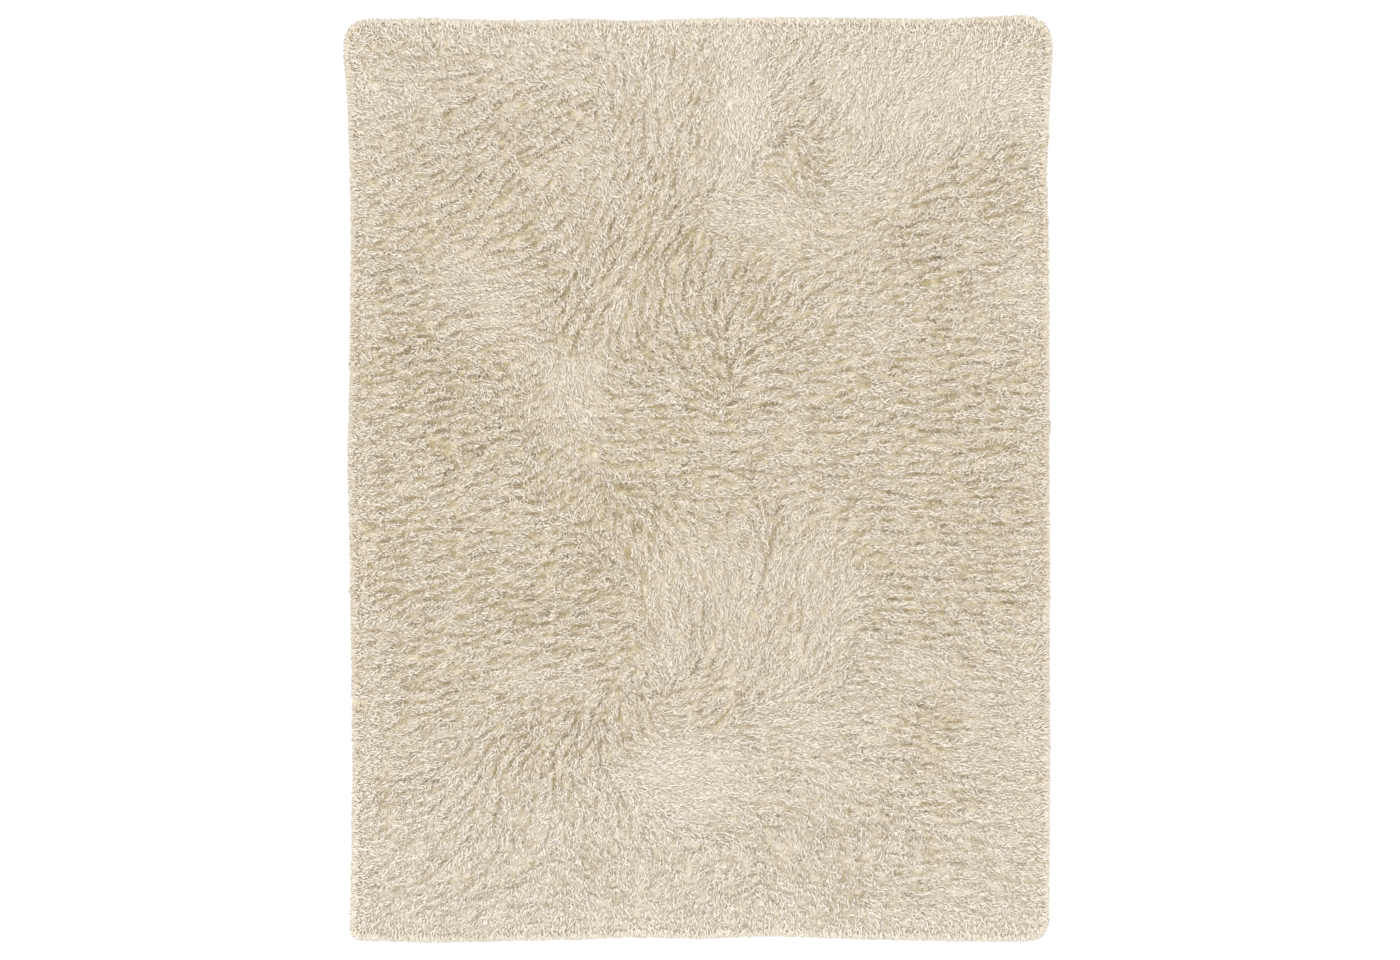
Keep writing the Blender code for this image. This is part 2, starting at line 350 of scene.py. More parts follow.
def bodyWool():
    # the dense felted mass of the pile: cream near the top, painted shade making it tan down in its
    # hollows and where the pile is ruffled
    material, shader = newMaterial("felted_wool_body", 1.0)
    place = addNode(material, "ShaderNodeTexCoord")
    grain = addNode(
        material,
        "ShaderNodeTexNoise",
        inputs={"Vector": place.outputs["Object"], "Scale": 1 / body["grain"], "Detail": 4.0},
    )
    # painted shade: the body darkens where the pile is ruffled and in its hollows
    openedAndShaded = addNode(material, "ShaderNodeAttribute", {"attribute_name": "openedAndShaded"})
    grainAndShade = addNode(
        material, "ShaderNodeMath", {"operation": "MULTIPLY_ADD"},
        {0: grain.outputs["Fac"], 1: 0.5, 2: openedAndShaded.outputs["Fac"]},
    )
    colour = addNode(material, "ShaderNodeValToRGB", inputs={"Fac": grainAndShade.outputs["Value"]})
    setRamp(colour, [[0.25, body["combed"]], [0.70, body["ruffled"]], [1.0, body["hollow"]]])
    height = grain.outputs["Fac"]
    dress(material, shader, colour.outputs["Color"], height, strength=0.6, depth=0.002)
    shader.inputs["Specular IOR Level"].default_value = 0.2
    return material


def groundWool():
    # plain weave of thick wool yarn, felted by washing
    material, shader = newMaterial("woven_wool_ground", 0.95)
    place = addNode(material, "ShaderNodeTexCoord")
    bands = []
    for direction in ("X", "Y"):
        wave = addNode(
            material,
            "ShaderNodeTexWave",
            {"wave_type": "BANDS", "bands_direction": direction},
            {"Vector": place.outputs["Object"], "Scale": pi / ground["yarnPitch"] / 10,
             "Distortion": 0.6, "Detail": 2.0, "Detail Scale": 3.0},
        )
        bands.append(wave)
    over = addNode(
        material, "ShaderNodeMath", {"operation": "MULTIPLY"},
        {0: bands[0].outputs["Fac"], 1: bands[1].outputs["Fac"]},
    )
    # painted shade in the gaps between the yarns, and a painted highlight on their crossings
    colour = addNode(material, "ShaderNodeValToRGB", inputs={"Fac": over.outputs["Value"]})
    setRamp(colour, [[0.0, ground["gapShade"]], [0.5, ground["yarn"]], [1.0, ground["yarnTopHighlight"]]])
    height = over.outputs["Value"]
    dress(material, shader, colour.outputs["Color"], height, strength=0.8, depth=0.0012)
    return material


# The locks draw together in tufts, with hollows between them

# places where tufts run together in ridges: x, y, half width, half length, the way the
# ridges run in degrees from +X, and how far they show
ridgePlaces = [
    [0.58, -0.05, 0.26, 0.50, 0, 1.0],
    [0.62, 0.50, 0.20, 0.14, 10, 1.0],
    [0.55, -0.75, 0.28, 0.22, -4, 0.7],
    [-0.42, 0.66, 0.30, 0.24, 44, 0.9],
    [-0.50, 0.14, 0.26, 0.24, 14, 0.9],
    [-0.50, -0.28, 0.28, 0.22, 12, 0.9],
    [0.02, 0.38, 0.12, 0.17, 90, 0.8],
    [0.06, 0.14, 0.15, 0.09, 0, 0.8],
    [0.10, 0.02, 0.22, 0.07, 0, 0.7],
    [0.10, -0.22, 0.10, 0.12, 90, 0.6],
    [-0.25, -0.90, 0.40, 0.10, 0, 0.6],
]
ridgePull = 3.0  # how strongly such a place turns the ridges from the lie of the pile

tuft = {
    "pitch": 0.018,
    "length": 1.4,  # how much longer a tuft is along its ridge than across it
    "longest": 1.8,  # the same where the ridges show most
    "ridgeTurn": 0.15,  # chance turns of the tufts' length, in radians
    "turnCombed": 0.06,  # how far the lies of neighbouring tufts differ, in radians
    "turnRuffled": 0.60,
    "riseCombed": 0.0006,  # how far a tuft stands over or under its neighbours
    "riseRuffled": 0.0020,
    "bulge": 0.002,  # how far a tuft's sides fall away
    "bulgeWidth": 0.004,
    "hollowPart": 0.30,  # how deep the hollows between tufts are beside those between ridges
    "hollowWidth": 0.0030,
    "hollowPitch": 0.016,  # hollows come and go along the edges of the tufts
    "hollowShare": 0.7,
    "seed": 3,
}

# tufts run together in ridges: larger tufts of their own, with the deep hollows between them
ridge = {
    "pitch": 0.028,
    "length": 1.5,
    "longest": 2.5,
    "ridgeTurn": 0.10,
    "turnCombed": 0.0,
    "turnRuffled": 0.0,
    "riseCombed": 0.0,
    "riseRuffled": 0.0015,
    "bulge": 0.003,
    "bulgeWidth": 0.007,
    "hollowDepth": 0.0080,
    "hollowWidth": 0.0045,
    "hollowPitch": 0.013,
    "hollowShare": 0.9,
    "seed": 5,
}

# where the hollows open
hollows = {
    "comeAndGo": 1.3,
    "alongRidge": 0.9,  # how much of a hollow is kept for edges that run along the ridge
    "fullAt": 1.1,
    "sharpness": 1.3,
    "least": 0.03,
    "most": 1.2,
    "rimFade": 0.04,  # how far in from the rim tufts and hollows reach their full depth
}


def spread(pitch, chance, margin=0.001):
    # places on a shaken hexagonal grid
    rowPitch = pitch * 0.866
    columns = int((rugHigh.x - rugLow.x) / pitch) + 3
    rows = int((rugHigh.y - rugLow.y) / rowPitch) + 3
    row, column = np.mgrid[0:rows, 0:columns]
    x = (rugLow.x + (column - 1 + 0.5 * (row % 2)) * pitch).ravel()
    y = (rugLow.y + (row - 1) * rowPitch).ravel()
    x = x + chance.uniform(-0.4, 0.4, x.size) * pitch
    y = y + chance.uniform(-0.4, 0.4, y.size) * pitch
    kept = distanceInside(x, y) > margin
    return x[kept], y[kept]


def ridgeAt(x, y, angle):
    # ridges point both ways, so twice their angle is what is summed up
    ridgeX, ridgeY = np.cos(2 * angle), np.sin(2 * angle)
    shown = np.zeros(len(x))
    for atX, atY, wide, long, way, share in ridgePlaces:
        weight = nearnessTo(x, y, atX, atY, wide, long)
        ridgeX += ridgePull * weight * np.cos(2 * np.radians(way))
        ridgeY += ridgePull * weight * np.sin(2 * np.radians(way))
        shown += weight * share
    return np.arctan2(ridgeY, ridgeX) / 2, shown.clip(0, 1)


def makeTufts(kind):
    chance = np.random.default_rng(kind["seed"])
    pastRim = 0.02
    x, y = spread(kind["pitch"], chance, -pastRim)
    angle, combed = lieAt(x, y)
    run, shown = ridgeAt(x, y, angle)
    # the longer the tufts, the fewer there are
    length = kind["length"] + (kind["longest"] - kind["length"]) * shown
    kept = chance.uniform(0, 1, len(x)) < (kind["length"] / length) ** 0.7
    x, y, angle, combed, run, length = [
        values[kept] for values in (x, y, angle, combed, run, length)
    ]
    ruffle = (1 - combed) / 2
    angle = angle + blend(kind, "turn", ruffle) * chance.normal(0, 1, len(x))
    run = run + kind["ridgeTurn"] * chance.normal(0, 1, len(x))
    rise = blend(kind, "rise", ruffle) * chance.normal(0, 1, len(x))
    return {"x": x, "y": y, "angle": angle, "ridge": run, "length": length, "rise": rise}


def tuftAt(tufts, x, y):
    # the tuft that holds each place, how far that is from the tuft's edge, and how much
    # that edge runs along the ridge
    tree = kdtree.KDTree(len(tufts["x"]))
    for i, spot in enumerate(zip(tufts["x"], tufts["y"])):
        tree.insert((*spot, 0), i)
    tree.balance()
    candidates = 10
    near = np.array(
        [[hit[1] for hit in tree.find_n((a, b, 0), candidates)] for a, b in zip(x, y)]
    )
    offX = x[:, None] - tufts["x"][near]
    offY = y[:, None] - tufts["y"][near]
    c, s = np.cos(tufts["ridge"][near]), np.sin(tufts["ridge"][near])
    away = np.hypot((offX * c + offY * s) / tufts["length"][near], offY * c - offX * s)
    order = np.argsort(away, axis=1)
    rows = np.arange(len(x))
    first, second = near[rows, order[:, 0]], near[rows, order[:, 1]]
    nearest, further = away[rows, order[:, 0]], away[rows, order[:, 1]]
    apartX = tufts["x"][second] - tufts["x"][first]
    apartY = tufts["y"][second] - tufts["y"][first]
    c, s = np.cos(tufts["ridge"][first]), np.sin(tufts["ridge"][first])
    across = np.abs(apartY * c - apartX * s)
    along = np.abs(apartX * c + apartY * s) / tufts["length"][first]
    apart = np.hypot(across, along) + 1e-9
    return first, (further ** 2 - nearest ** 2) / (2 * apart), across / apart


# The pile is worked out once on a fine grid and read from it for every lock

fineStep = 0.0028
fineShape = (
    int((rugHigh.y - rugLow.y) / fineStep) + 3,
    int((rugHigh.x - rugLow.x) / fineStep) + 3,
)


def shapeOf(kind, tufts, x, y, ruffle):
    # which tuft holds each place, its hollows, and how far its top stands up or falls away
    index, edge, sideways = tuftAt(tufts, x, y)
    layer = kind["seed"] + 0.4
    broken = kind["hollowShare"] + hollows["comeAndGo"] * noiseAt(x, y, kind["hollowPitch"], layer)
    hollow = np.exp(-((edge / kind["hollowWidth"]) ** 2)) * broken.clip(0, 1)
    hollow = hollow * (1 - hollows["alongRidge"] + hollows["alongRidge"] * sideways ** 2)
    # where the pile is combed flat, the tufts bulge less
    flattest = 0.3
    bulge = kind["bulge"] * (flattest + (1 - flattest) * ruffle)
    fallen = bulge * np.exp(-edge / kind["bulgeWidth"])
    return index, hollow, tufts["rise"][index] - fallen


def makeFields(tufts, ridges):
    row, column = np.mgrid[0:fineShape[0], 0:fineShape[1]]
    x = (rugLow.x + (column - 1) * fineStep).ravel()
    y = (rugLow.y + (row - 1) * fineStep).ravel()
    angle, combed = lieAt(x, y)
    ruffle = (1 - combed) / 2
    index, between, tuftShape = shapeOf(tuft, tufts, x, y, ruffle)
    _, besideRidge, ridgeShape = shapeOf(ridge, ridges, x, y, ruffle)
    # how open the pile is; it sets the depth of the hollows and so their painted shade
    openedAndShaded = ((1 - combed) / hollows["fullAt"]) ** hollows["sharpness"]
    openedAndShaded = openedAndShaded.clip(hollows["least"], hollows["most"])
    hollow = openedAndShaded * np.maximum(tuft["hollowPart"] * between, besideRidge)
    inner = 1 - np.exp(-((distanceInside(x, y).clip(0) / hollows["rimFade"]) ** 2))
    top = pileTop(x, y, combed)
    top = top + (tuftShape + ridgeShape - ridge["hollowDepth"] * hollow) * inner
    fields = {
        "lieX": np.cos(angle), "lieY": np.sin(angle), "combed": combed,
        "pale": np.interp(y / rugHigh.y, lie["combedAt"], lie["paleAlong"]),
        "hollow": hollow, "top": top, "tuft": index,
    }
    fields = {name: values.reshape(fineShape) for name, values in fields.items()}
    # the dense body of the pile stays under the lowest place near by
    lowest = fields["top"]
    for axis in (0, 1):
        for shift in (-1, 1):
            lowest = np.minimum(lowest, np.roll(lowest, shift, axis))
    fields["lowest"] = lowest
    return fields


def readField(values, x, y):
    across = ((x - rugLow.x) / fineStep + 1).clip(0, fineShape[1] - 1.001)
    along = ((y - rugLow.y) / fineStep + 1).clip(0, fineShape[0] - 1.001)
    i, j = along.astype(int), across.astype(int)
    s, t = along - i, across - j
    low = values[i, j] * (1 - t) + values[i, j + 1] * t
    high = values[i + 1, j] * (1 - t) + values[i + 1, j + 1] * t
    return low * (1 - s) + high * s


def ruffleAt(fields, x, y):
    # 0 where the pile is combed flat, 1 where it is ruffled
    return (1 - readField(fields["combed"], x, y)) / 2


def tuftHere(fields, x, y):
    across = ((x - rugLow.x) / fineStep + 1.5).astype(int).clip(0, fineShape[1] - 1)
    along = ((y - rugLow.y) / fineStep + 1.5).astype(int).clip(0, fineShape[0] - 1)
    return fields["tuft"][along, across]


# Woven ground and the dense body of the pile

ground = {
    "inset": 0.015,
    "thickness": 0.0025,
    "step": 0.030,
    "yarnPitch": 0.004,
    # the weave's colours: painted shade in the gaps between yarns and a painted highlight on their
    # tops
    "gapShade": "#A08B62",
    "yarn": "#D2C4A4",
    "yarnTopHighlight": "#E2D8C0",
}

body = {
    "inset": 0.006,
    "step": 0.0085,
    "coverCombed": 0.0052,  # how far the locks stand over the dense body of the pile
    "coverRuffled": 0.0080,
    "coverMost": 0.55,  # the same at most, as a share of the pile's height
    "overGround": 0.002,
    "grain": 0.005,
    "combed": "#E9E0D0",
    "ruffled": "#DCD0B5",
    # painted shade: the tan of the body down in its hollows
    "hollow": "#C4B38F",
    # what makes its colour go from combed to hollow, as painted shade: darker where ruffled and in
    # the hollows, lighter where the rug is pale
    "shadeByRuffle": 0.35,
    "shadeByHollow": 0.65,
    "byPale": -0.25,
}


def bodyTop(fields, x, y):
    cover = blend(body, "cover", ruffleAt(fields, x, y))
    top = readField(fields["lowest"], x, y)
    least = ground["thickness"] + body["overGround"]
    return np.maximum(top - cover.clip(None, body["coverMost"] * top), least)


def layOut(bm, inset, step):
    # a grid drawn out to the rug's outline, inset on all sides
    columns = round((rugHigh.x - rugLow.x) / step)
    rows = round((rugHigh.y - rugLow.y) / step)
    bmesh.ops.create_grid(bm, x_segments=columns, y_segments=rows, size=1.0)
    across = np.array([v.co.x for v in bm.verts])
    along = np.array([v.co.y for v in bm.verts])
    left, right, bottom, top = edgesAt(across * rugHigh.x, along * rugHigh.y)
    x = left + inset + (across + 1) / 2 * (right - left - 2 * inset)
    y = bottom + inset + (along + 1) / 2 * (top - bottom - 2 * inset)
    for side, end, fullRadius in outline["corners"]:
        radius = fullRadius - inset / 2
        pastX = side * x - (side * (right if side > 0 else left) - inset) + radius
        pastY = end * y - (end * (top if end > 0 else bottom) - inset) + radius
        inCorner = (pastX > 0) & (pastY > 0)
        longer = np.maximum(pastX, pastY)
        shrink = np.where(inCorner, 1 - longer / np.hypot(pastX, pastY).clip(1e-9), 0)
        x = x - side * pastX * shrink
        y = y - end * pastY * shrink
    for vertex, newX, newY in zip(bm.verts, x, y):
        vertex.co = (newX, newY, 0)
    return x, y


def addPiece(mesh, material):
    mesh.materials.append(material)
    mesh.shade_smooth()
    piece = bpy.data.objects.new(mesh.name, mesh)
    bpy.context.scene.collection.objects.link(piece)
    return piece


def finishPiece(name, bm, material):
    mesh = bpy.data.meshes.new(name)
    bm.to_mesh(mesh)
    bm.free()
    return addPiece(mesh, material)


def closeDown(bm, floorHeight):
    # walls from the rim down, and a flat underside
    rim = [edge for edge in bm.edges if edge.is_boundary]
    dropped = bmesh.ops.extrude_edge_only(bm, edges=rim)["geom"]
    for item in dropped:
        if isinstance(item, bmesh.types.BMVert):
            item.co.z = floorHeight
    lowRim = [edge for edge in bm.edges if edge.is_boundary]
    bmesh.ops.triangle_fill(bm, edges=lowRim, use_beauty=True)
    bmesh.ops.recalc_face_normals(bm, faces=bm.faces)


def makeGround():
    bm = bmesh.new()
    layOut(bm, ground["inset"], ground["step"])
    for vertex in bm.verts:
        vertex.co.z = ground["thickness"]
    closeDown(bm, 0.0)
    return finishPiece("woven_ground", bm, groundWool())


def makeBody(fields):
    bm = bmesh.new()
    x, y = layOut(bm, body["inset"], body["step"])
    for vertex, z in zip(bm.verts, bodyTop(fields, x, y)):
        vertex.co.z = z
    closeDown(bm, ground["thickness"])
    piece = finishPiece("pile_body", bm, bodyWool())
    # painted shade: the body is darker where the pile is ruffled and in its hollows
    openedAndShaded = piece.data.attributes.new("openedAndShaded", "FLOAT", "POINT")
    values = np.ones(len(piece.data.vertices))
    values[:len(x)] = (
        body["shadeByRuffle"] * ruffleAt(fields, x, y)
        + body["shadeByHollow"] * readField(fields["hollow"], x, y)
        + body["byPale"] * readField(fields["pale"], x, y)
    )
    openedAndShaded.data.foreach_set("value", values)
    return piece


# The locks

locks = {
    "seed": 7,
    # the long locks that lie on top, and the short wisps that fill in between and under them
    "long": {
        "rings": 2, "pitch": 0.0102, "width": 0.0037, "thickness": 0.0032,
        "lift": 0.0, "brightest": 1.0, "tone": 0.54,
        "reachCombed": 0.025, "reachRuffled": 0.0185, "draw": 1.0,
        "mayCross": [0.75, 0.55, 0.35],
    },
    "wisp": {
        "rings": 1, "pitch": 0.0061, "width": 0.0036, "thickness": 0.0018,
        # painted shade: the wisps lie lower and stop short of the lightest tips, under the long
        # locks
        "lift": -0.5, "brightest": 0.86, "tone": 0.54,
        "reachCombed": 0.0205, "reachRuffled": 0.0140, "draw": 0.4,
        "mayCross": [0.6],
    },
    "rim": {
        "rings": 2, "pitch": 0.0028, "width": 0.0040, "thickness": 0.0020,
        # painted shade: the rim's locks get a darker tone and stop short of the lightest tips,
        # where the pile falls to the floor
        "lift": 0.0, "brightest": 0.85, "tone": 0.28,
        "reachCombed": 0.024, "reachRuffled": 0.024, "draw": 0.1,
        "mayCross": [],
    },
    "tuftLie": 0.7,  # how much a lock follows its tuft, and the rest the pile around it
    "clumpCombed": 0.12,  # how far tips draw in to the middle line of their tuft
    "clumpRuffled": 0.35,
    "strayCombed": 0.24,  # how far single locks turn from their tuft, in radians
    "strayRuffled": 0.52,
    "thinned": 0.5,  # the share of locks that is missing in a deep hollow
    "deep": 0.45,  # how deep a hollow is that a lock doesn't cross
    "inside": (0.0004, 0.0024),  # how far the tips at the rim stay inside the outline
    "rimFade": 0.03,  # how far in from the rim the locks lie as they do on top
    "rooted": 0.003,  # how deep a lock starts inside the dense body
    "lowestRoot": 0.001,
    "lowestPoint": 0.0016,
    "drawnOut": 1.3,  # the points of a lock lie closer at its root
    "risenAt": 1.6,  # a lock reaches the pile's top at 1 / 1.6 of its length
    "layerCombed": 0.0016,  # how far locks lie over and under each other
    "layerRuffled": 0.0038,
    "tipLiftCombed": 0.0004,
    "tipLiftRuffled": 0.0018,
    "swayCombed": 0.0008,  # the waves along a lock
    "swayRuffled": 0.0032,
    "lowestCombed": 0.30,  # where on the colour from root to tip a lock begins; ruffled locks begin lower, on more of the painted shade at the root
    "lowestRuffled": 0.10,
    "toneSpreadCombed": 0.11,
    "toneSpreadRuffled": 0.16,
    "toneSwell": 0.10,
    "tonePitch": 0.06,
    # painted shade: locks grow darker towards the rim
    "rimShade": -0.10,
    "tonePale": 0.30,
    "broadCombed": 0.86,
    "broadRuffled": 1.12,
    "thickCombed": 0.60,
    "thickRuffled": 1.00,
}


def lockTemplate(rings):
    # a spindle of three sides: a point at the root, one or two rings and a point at the tip
    bm = bmesh.new()
    bmesh.ops.create_circle(bm, segments=3, radius=1.0)
    for vertex in bm.verts:
        vertex.co.z = 1
    edges = list(bm.edges)
    for ring in range(1, rings):
        new = bmesh.ops.extrude_edge_only(bm, edges=edges)["geom"]
        edges = [item for item in new if isinstance(item, bmesh.types.BMEdge) and item.is_boundary]
        for item in new:
            if isinstance(item, bmesh.types.BMVert):
                item.co.z = ring + 1
    for near, end in ((1, 0), (rings, rings + 1)):
        rim = [
            edge for edge in bm.edges
            if all(round(v.co.z) == near for v in edge.verts) and (edge.is_boundary or edge.is_wire)
        ]
        new = bmesh.ops.extrude_edge_only(bm, edges=rim)["geom"]
        ends = [item for item in new if isinstance(item, bmesh.types.BMVert)]
        bmesh.ops.pointmerge(bm, verts=ends, merge_co=(0, 0, end))
    bmesh.ops.triangulate(bm, faces=bm.faces)
    bmesh.ops.recalc_face_normals(bm, faces=bm.faces)
    bm.verts.index_update()
    return bm


def joinLocks(name, grown, material):
    # one mesh of all the locks; the path of each holds its points, from root to tip
    path, width, thickness, tone, lowest, highest = grown
    count, steps = path.shape[:2]
    bm = lockTemplate(steps - 2)
    ring = np.array([round(v.co.z) for v in bm.verts])
    onRing = (ring > 0) & (ring < steps - 1)
    aroundX = np.array([v.co.x for v in bm.verts]) * onRing
    aroundY = np.array([v.co.y for v in bm.verts]) * onRing
    corners = np.array([[v.index for v in face.verts] for face in bm.faces])
    bm.free()
    run = path[:, -1] - path[:, 0]
    side = np.stack([-run[:, 1], run[:, 0], np.zeros(count)], axis=1)
    side /= np.linalg.norm(side, axis=1)[:, None] + 1e-9
    after = np.arange(steps).clip(None, steps - 2) + 1
    before = np.arange(steps).clip(1, None) - 1
    tangent = path[:, after] - path[:, before]
    tangent /= np.linalg.norm(tangent, axis=2)[:, :, None] + 1e-9
    up = np.cross(tangent, side[:, None, :])
    up *= np.where(up[:, :, 2:] < 0, -1.0, 1.0)
    # a lock narrows a little towards its tip
    taper = np.interp(np.arange(steps), [0, 1, steps - 1], [0.0, 1.0, 0.7 if steps > 3 else 0.0])
    spots = (
        path[:, ring]
        + side[:, None, :] * (aroundX * taper[ring] / 2)[None, :, None] * width[:, None, None]
        + up[:, ring] * (aroundY * taper[ring] / 2)[None, :, None] * thickness[:, None, None]
    )
    faces = corners[None] + (np.arange(count) * len(ring))[:, None, None]
    mesh = bpy.data.meshes.new(name)
    mesh.vertices.add(count * len(ring))
    mesh.vertices.foreach_set("co", spots.astype(np.float32).ravel())
    mesh.loops.add(faces.size)
    mesh.loops.foreach_set("vertex_index", faces.astype(np.int32).ravel())
    mesh.polygons.add(faces.size // 3)
    mesh.polygons.foreach_set("loop_start", np.arange(0, faces.size, 3, dtype=np.int32))
    # the map: one column for each tone, and root to tip upwards
    turn = np.arctan2(aroundY, aroundX)[corners] / (2 * pi) % 1.0
    cornerOnRing = onRing[corners]
    least = np.where(cornerOnRing, turn, 1).min(axis=1)
    most = np.where(cornerOnRing, turn, 0).max(axis=1)
    wraps = (most - least > 0.5)[:, None] & cornerOnRing & (turn < 0.3)
    turn = np.where(wraps, turn + 1, turn)
    middle = (turn * cornerOnRing).sum(axis=1) / cornerOnRing.sum(axis=1)
    turn = np.where(cornerOnRing, turn, middle[:, None])
    column = 1 / wool["tones"]
    start = np.floor(tone * (wool["tones"] - 1)).clip(0, wool["tones"] - 2) * column
    sideMargin, turnShare, endMargin = 0.05, 0.6, 0.02
    u = start[:, None, None] + (sideMargin + turn * turnShare)[None] * column
    rise = (ring[corners] / (steps - 1))[None]
    shade = lowest[:, None, None] * (1 - rise) + highest[:, None, None] * rise
    v = endMargin + (1 - 2 * endMargin) * shade
    bakeMap = mesh.uv_layers.new(name="OFBake")
    bakeMap.data.foreach_set("uv", np.stack([u, v], axis=-1).astype(np.float32).ravel())
    mesh.update()
    mesh.validate()
    return addPiece(mesh, material)


def rimPlaces(pitch, chance):
    # places along the outline, pulled in on its corners
    along = np.arange(rugLow.y, rugHigh.y, pitch)
    across = np.arange(rugLow.x, rugHigh.x, pitch)
    left, right, bottom, top = edgesAt(np.zeros(len(along)), along)
    x, y = [left, right], [along, along]
    left, right, bottom, top = edgesAt(across, np.zeros(len(across)))
    x, y = np.concatenate(x + [across, across]), np.concatenate(y + [bottom, top])
    for _ in range(4):
        over = -distanceInside(x, y)
        outX, outY = outwardAt(x, y)
        x, y = x - over * outX, y - over * outY
    inwards = chance.uniform(*locks["inside"], len(x))
    return x - inwards * outX, y - inwards * outY


def growLocks(kind, tipX, tipY, tufts, fields, chance):
    # each lock runs back from its tip to its root
    count = len(tipX)
    index = tuftHere(fields, tipX, tipY)
    ruffle = ruffleAt(fields, tipX, tipY)
    lieX, lieY = readField(fields["lieX"], tipX, tipY), readField(fields["lieY"], tipX, tipY)
    tuftX, tuftY = np.cos(tufts["angle"][index]), np.sin(tufts["angle"][index])
    own = locks["tuftLie"]
    angle = np.arctan2((1 - own) * lieY + own * tuftY, (1 - own) * lieX + own * tuftX)
    angle = angle + blend(locks, "stray", ruffle) * chance.normal(0, 1, count)
    # tips draw in across the tuft, and its edges open
    clump = blend(locks, "clump", ruffle) * kind["draw"]
    clump = (clump * chance.uniform(0.3, 1.3, count)).clip(0, 0.9)
    aside = (tufts["y"][index] - tipY) * tuftX - (tufts["x"][index] - tipX) * tuftY
    tipX, tipY = tipX - aside * clump * tuftY, tipY + aside * clump * tuftX
    # no tip passes the outline
    over = (chance.uniform(*locks["inside"], count) - distanceInside(tipX, tipY)).clip(0)
    outX, outY = outwardAt(tipX, tipY)
    tipX, tipY = tipX - over * outX, tipY - over * outY
    # a lock that would lie across a hollow starts in that hollow
    reach = blend(kind, "reach", ruffle) * chance.uniform(0.75, 1.25, count)
    for share in kind["mayCross"]:
        backX, backY = tipX - share * reach * np.cos(angle), tipY - share * reach * np.sin(angle)
        crosses = readField(fields["hollow"], backX, backY) > locks["deep"]
        reach = np.where(crosses, share * reach, reach)
    rootX, rootY = tipX - reach * np.cos(angle), tipY - reach * np.sin(angle)
    rootZ = bodyTop(fields, rootX, rootY) - locks["rooted"]
    rootZ = np.maximum(rootZ, locks["lowestRoot"])
    inner = 1 - np.exp(-((distanceInside(tipX, tipY).clip(0) / locks["rimFade"]) ** 2))
    layer = kind["lift"] + chance.uniform(-0.9, 0.4, count)
    layer = layer * blend(locks, "layer", ruffle) * inner
    # at the rim the tips droop to the floor
    droop = (1 - inner) * chance.uniform(0.0, 0.9, count)
    tipLift = blend(locks, "tipLift", ruffle) * chance.normal(0.2, 1, count) * inner
    sway = chance.normal(0, 1, (kind["rings"] + 2, count)) * blend(locks, "sway", ruffle)
    sway[0] = sway[-1] = 0
    path = []
    for step in range(kind["rings"] + 2):
        share = step / (kind["rings"] + 1)
        along = share ** locks["drawnOut"]
        x = rootX + (tipX - rootX) * along - sway[step] * np.sin(angle)
        y = rootY + (tipY - rootY) * along + sway[step] * np.cos(angle)
        top = readField(fields["top"], x, y) + layer
        top = top * (1 - droop * share ** 3)
        risen = np.sin(min(share * locks["risenAt"], 1) * pi / 2)
        z = rootZ + (top - rootZ) * risen + tipLift * share ** 2
        path.append(np.stack([x, y, np.maximum(z, locks["lowestPoint"])], axis=1))
    path = np.stack(path, axis=1)
    # in a hollow a lock keeps only the lower, darker part of its colour: painted shade down in the
    # hollow
    sunk = readField(fields["hollow"], tipX, tipY)
    highest = kind["brightest"] * (1 - chance.uniform(0.6, 1.0, count) * sunk)
    lowest = blend(locks, "lowest", ruffle) * (1 - sunk)
    tone = kind["tone"] + blend(locks, "toneSpread", ruffle) * chance.normal(0, 1, count)
    tone += locks["toneSwell"] * noiseAt(tipX, tipY, locks["tonePitch"], noiseLayer["tone"])
    # painted shade: darker towards the rim, where the pile falls away
    tone += locks["rimShade"] * (1 - inner)
    tone += locks["tonePale"] * readField(fields["pale"], tipX, tipY)
    width = kind["width"] * chance.uniform(0.75, 1.25, count) * blend(locks, "broad", ruffle)
    thickness = kind["thickness"] * chance.uniform(0.8, 1.2, count)
    thickness = thickness * blend(locks, "thick", ruffle)
    return path, width, thickness, tone.clip(0, 1), lowest, highest


def makeLocks(tufts, fields):
    chance = np.random.default_rng(locks["seed"])
    material = lockWool()
    pieces = []
    # the locks on top are joined in three bands along the rug, to keep each mesh small
    for kind, bands in (("long", 3), ("wisp", 3), ("rim", 1)):
        place = rimPlaces if kind == "rim" else spread
        tipX, tipY = place(locks[kind]["pitch"], chance)
        sunk = readField(fields["hollow"], tipX, tipY)
        left = chance.uniform(0, 1, len(tipX)) > locks["thinned"] * sunk
        tipX, tipY = tipX[left], tipY[left]
        grown = growLocks(locks[kind], tipX, tipY, tufts, fields, chance)
        share = (grown[0][:, -1, 1] - rugLow.y) / (rugHigh.y - rugLow.y)
        band = (share * bands).astype(int).clip(0, bands - 1)
        for i in range(bands):
            inBand = [part[band == i] for part in grown]
            pieces.append(joinLocks(f"{kind}_locks_{i + 1}", inBand, material))
        print(kind, "locks:", len(share))
    return pieces


# Floor, light and camera

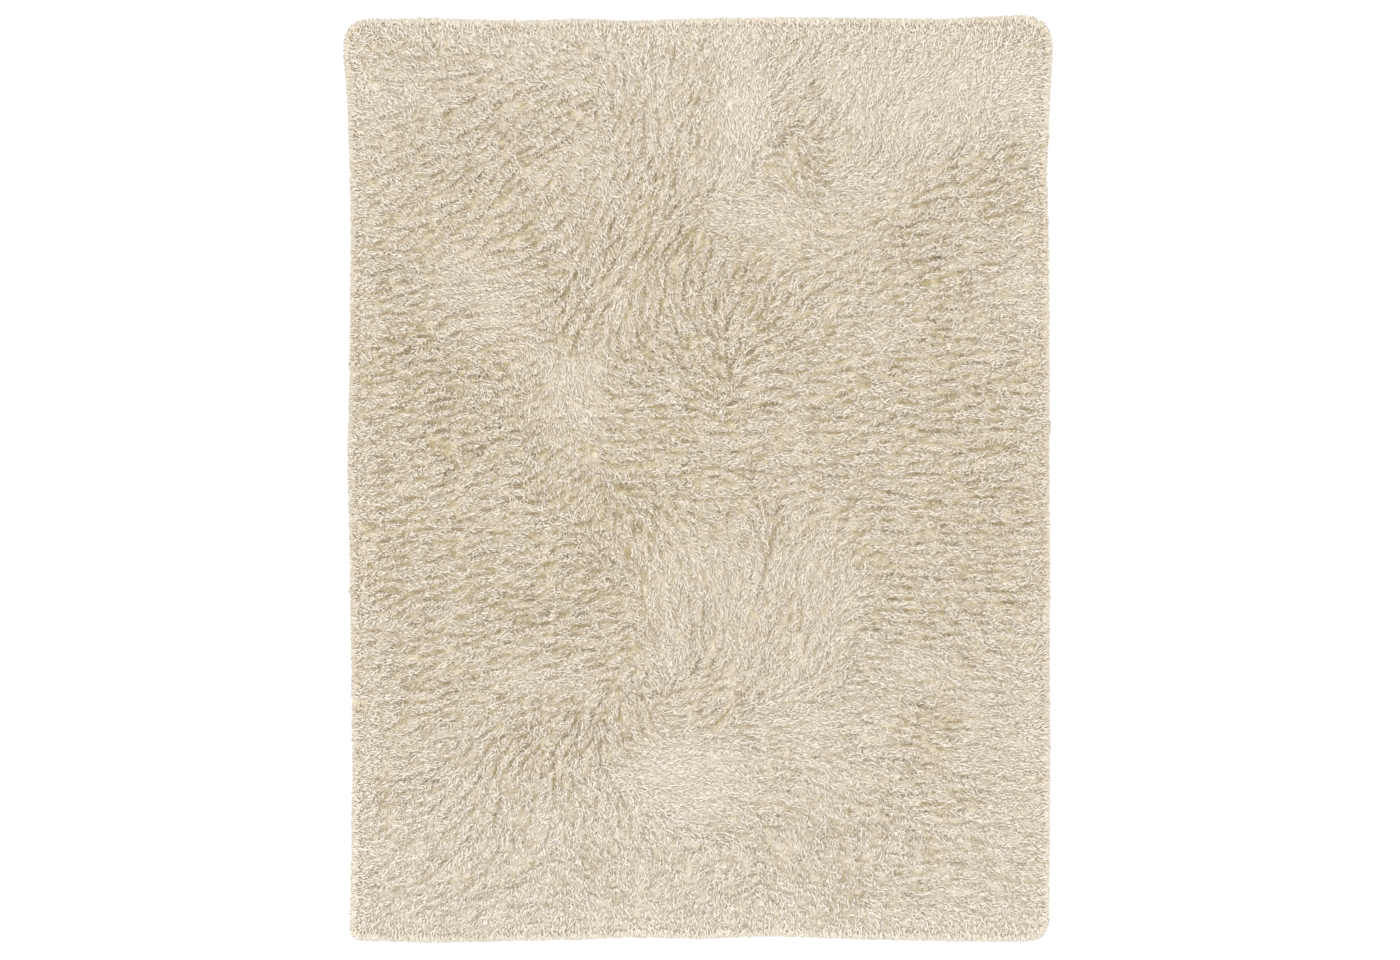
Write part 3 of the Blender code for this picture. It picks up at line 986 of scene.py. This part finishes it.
studio = {
    "frameWidth": 3.002,  # what the photo's 1400 pixels take in
    "aim": (0.004, -0.003),
    "lens": 100,
    "sensor": 36,
    "floor": "#FBFBFA",
    "floorReach": 12,
    "worldStrength": 1.275,
    "lampSize": 3.0,
    "lampPower": 70,
    "lampAt": (-0.2, 0.3, 5.0),
}


def makeStudio():
    scene = bpy.context.scene
    scene.view_settings.view_transform = "Standard"
    bm = bmesh.new()
    bmesh.ops.create_grid(bm, x_segments=1, y_segments=1, size=studio["floorReach"])
    material, shader = newMaterial("pale_floor", 0.9)
    shader.inputs["Base Color"].default_value = linear(studio["floor"])
    floor = finishPiece("studio_floor", bm, material)
    world = bpy.data.worlds.new("soft_studio")
    world.use_nodes = True
    background = world.node_tree.nodes["Background"]
    background.inputs["Color"].default_value = (1, 1, 1, 1)
    background.inputs["Strength"].default_value = studio["worldStrength"]
    scene.world = world
    lampData = bpy.data.lights.new("soft_box", "AREA")
    lampData.shape = "SQUARE"
    lampData.size = studio["lampSize"]
    lampData.energy = studio["lampPower"]
    lamp = bpy.data.objects.new("soft_box", lampData)
    lamp.location = studio["lampAt"]
    lamp.rotation_euler = (-Vector(studio["lampAt"])).to_track_quat("-Z", "Y").to_euler()
    scene.collection.objects.link(lamp)
    cameraData = bpy.data.cameras.new("camera")
    cameraData.lens = studio["lens"]
    cameraData.sensor_width = studio["sensor"]
    camera = bpy.data.objects.new("camera", cameraData)
    height = studio["frameWidth"] * studio["lens"] / studio["sensor"]
    camera.location = (*studio["aim"], height)
    scene.collection.objects.link(camera)
    scene.camera = camera


makeStudio()
tufts = makeTufts(tuft)
ridges = makeTufts(ridge)
print("tufts:", len(tufts["x"]), "ridges:", len(ridges["x"]))
fields = makeFields(tufts, ridges)
print("fields made")
woven = makeGround()
pileBody = makeBody(fields)
print("ground and body made")
lockPieces = makeLocks(tufts, fields)
triangles = 0
for piece in [woven, pileBody] + lockPieces:
    piece.data.calc_loop_triangles()
    triangles += len(piece.data.loop_triangles)
    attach(piece, "root")
    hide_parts("shag_rug")
print("triangles:", triangles)
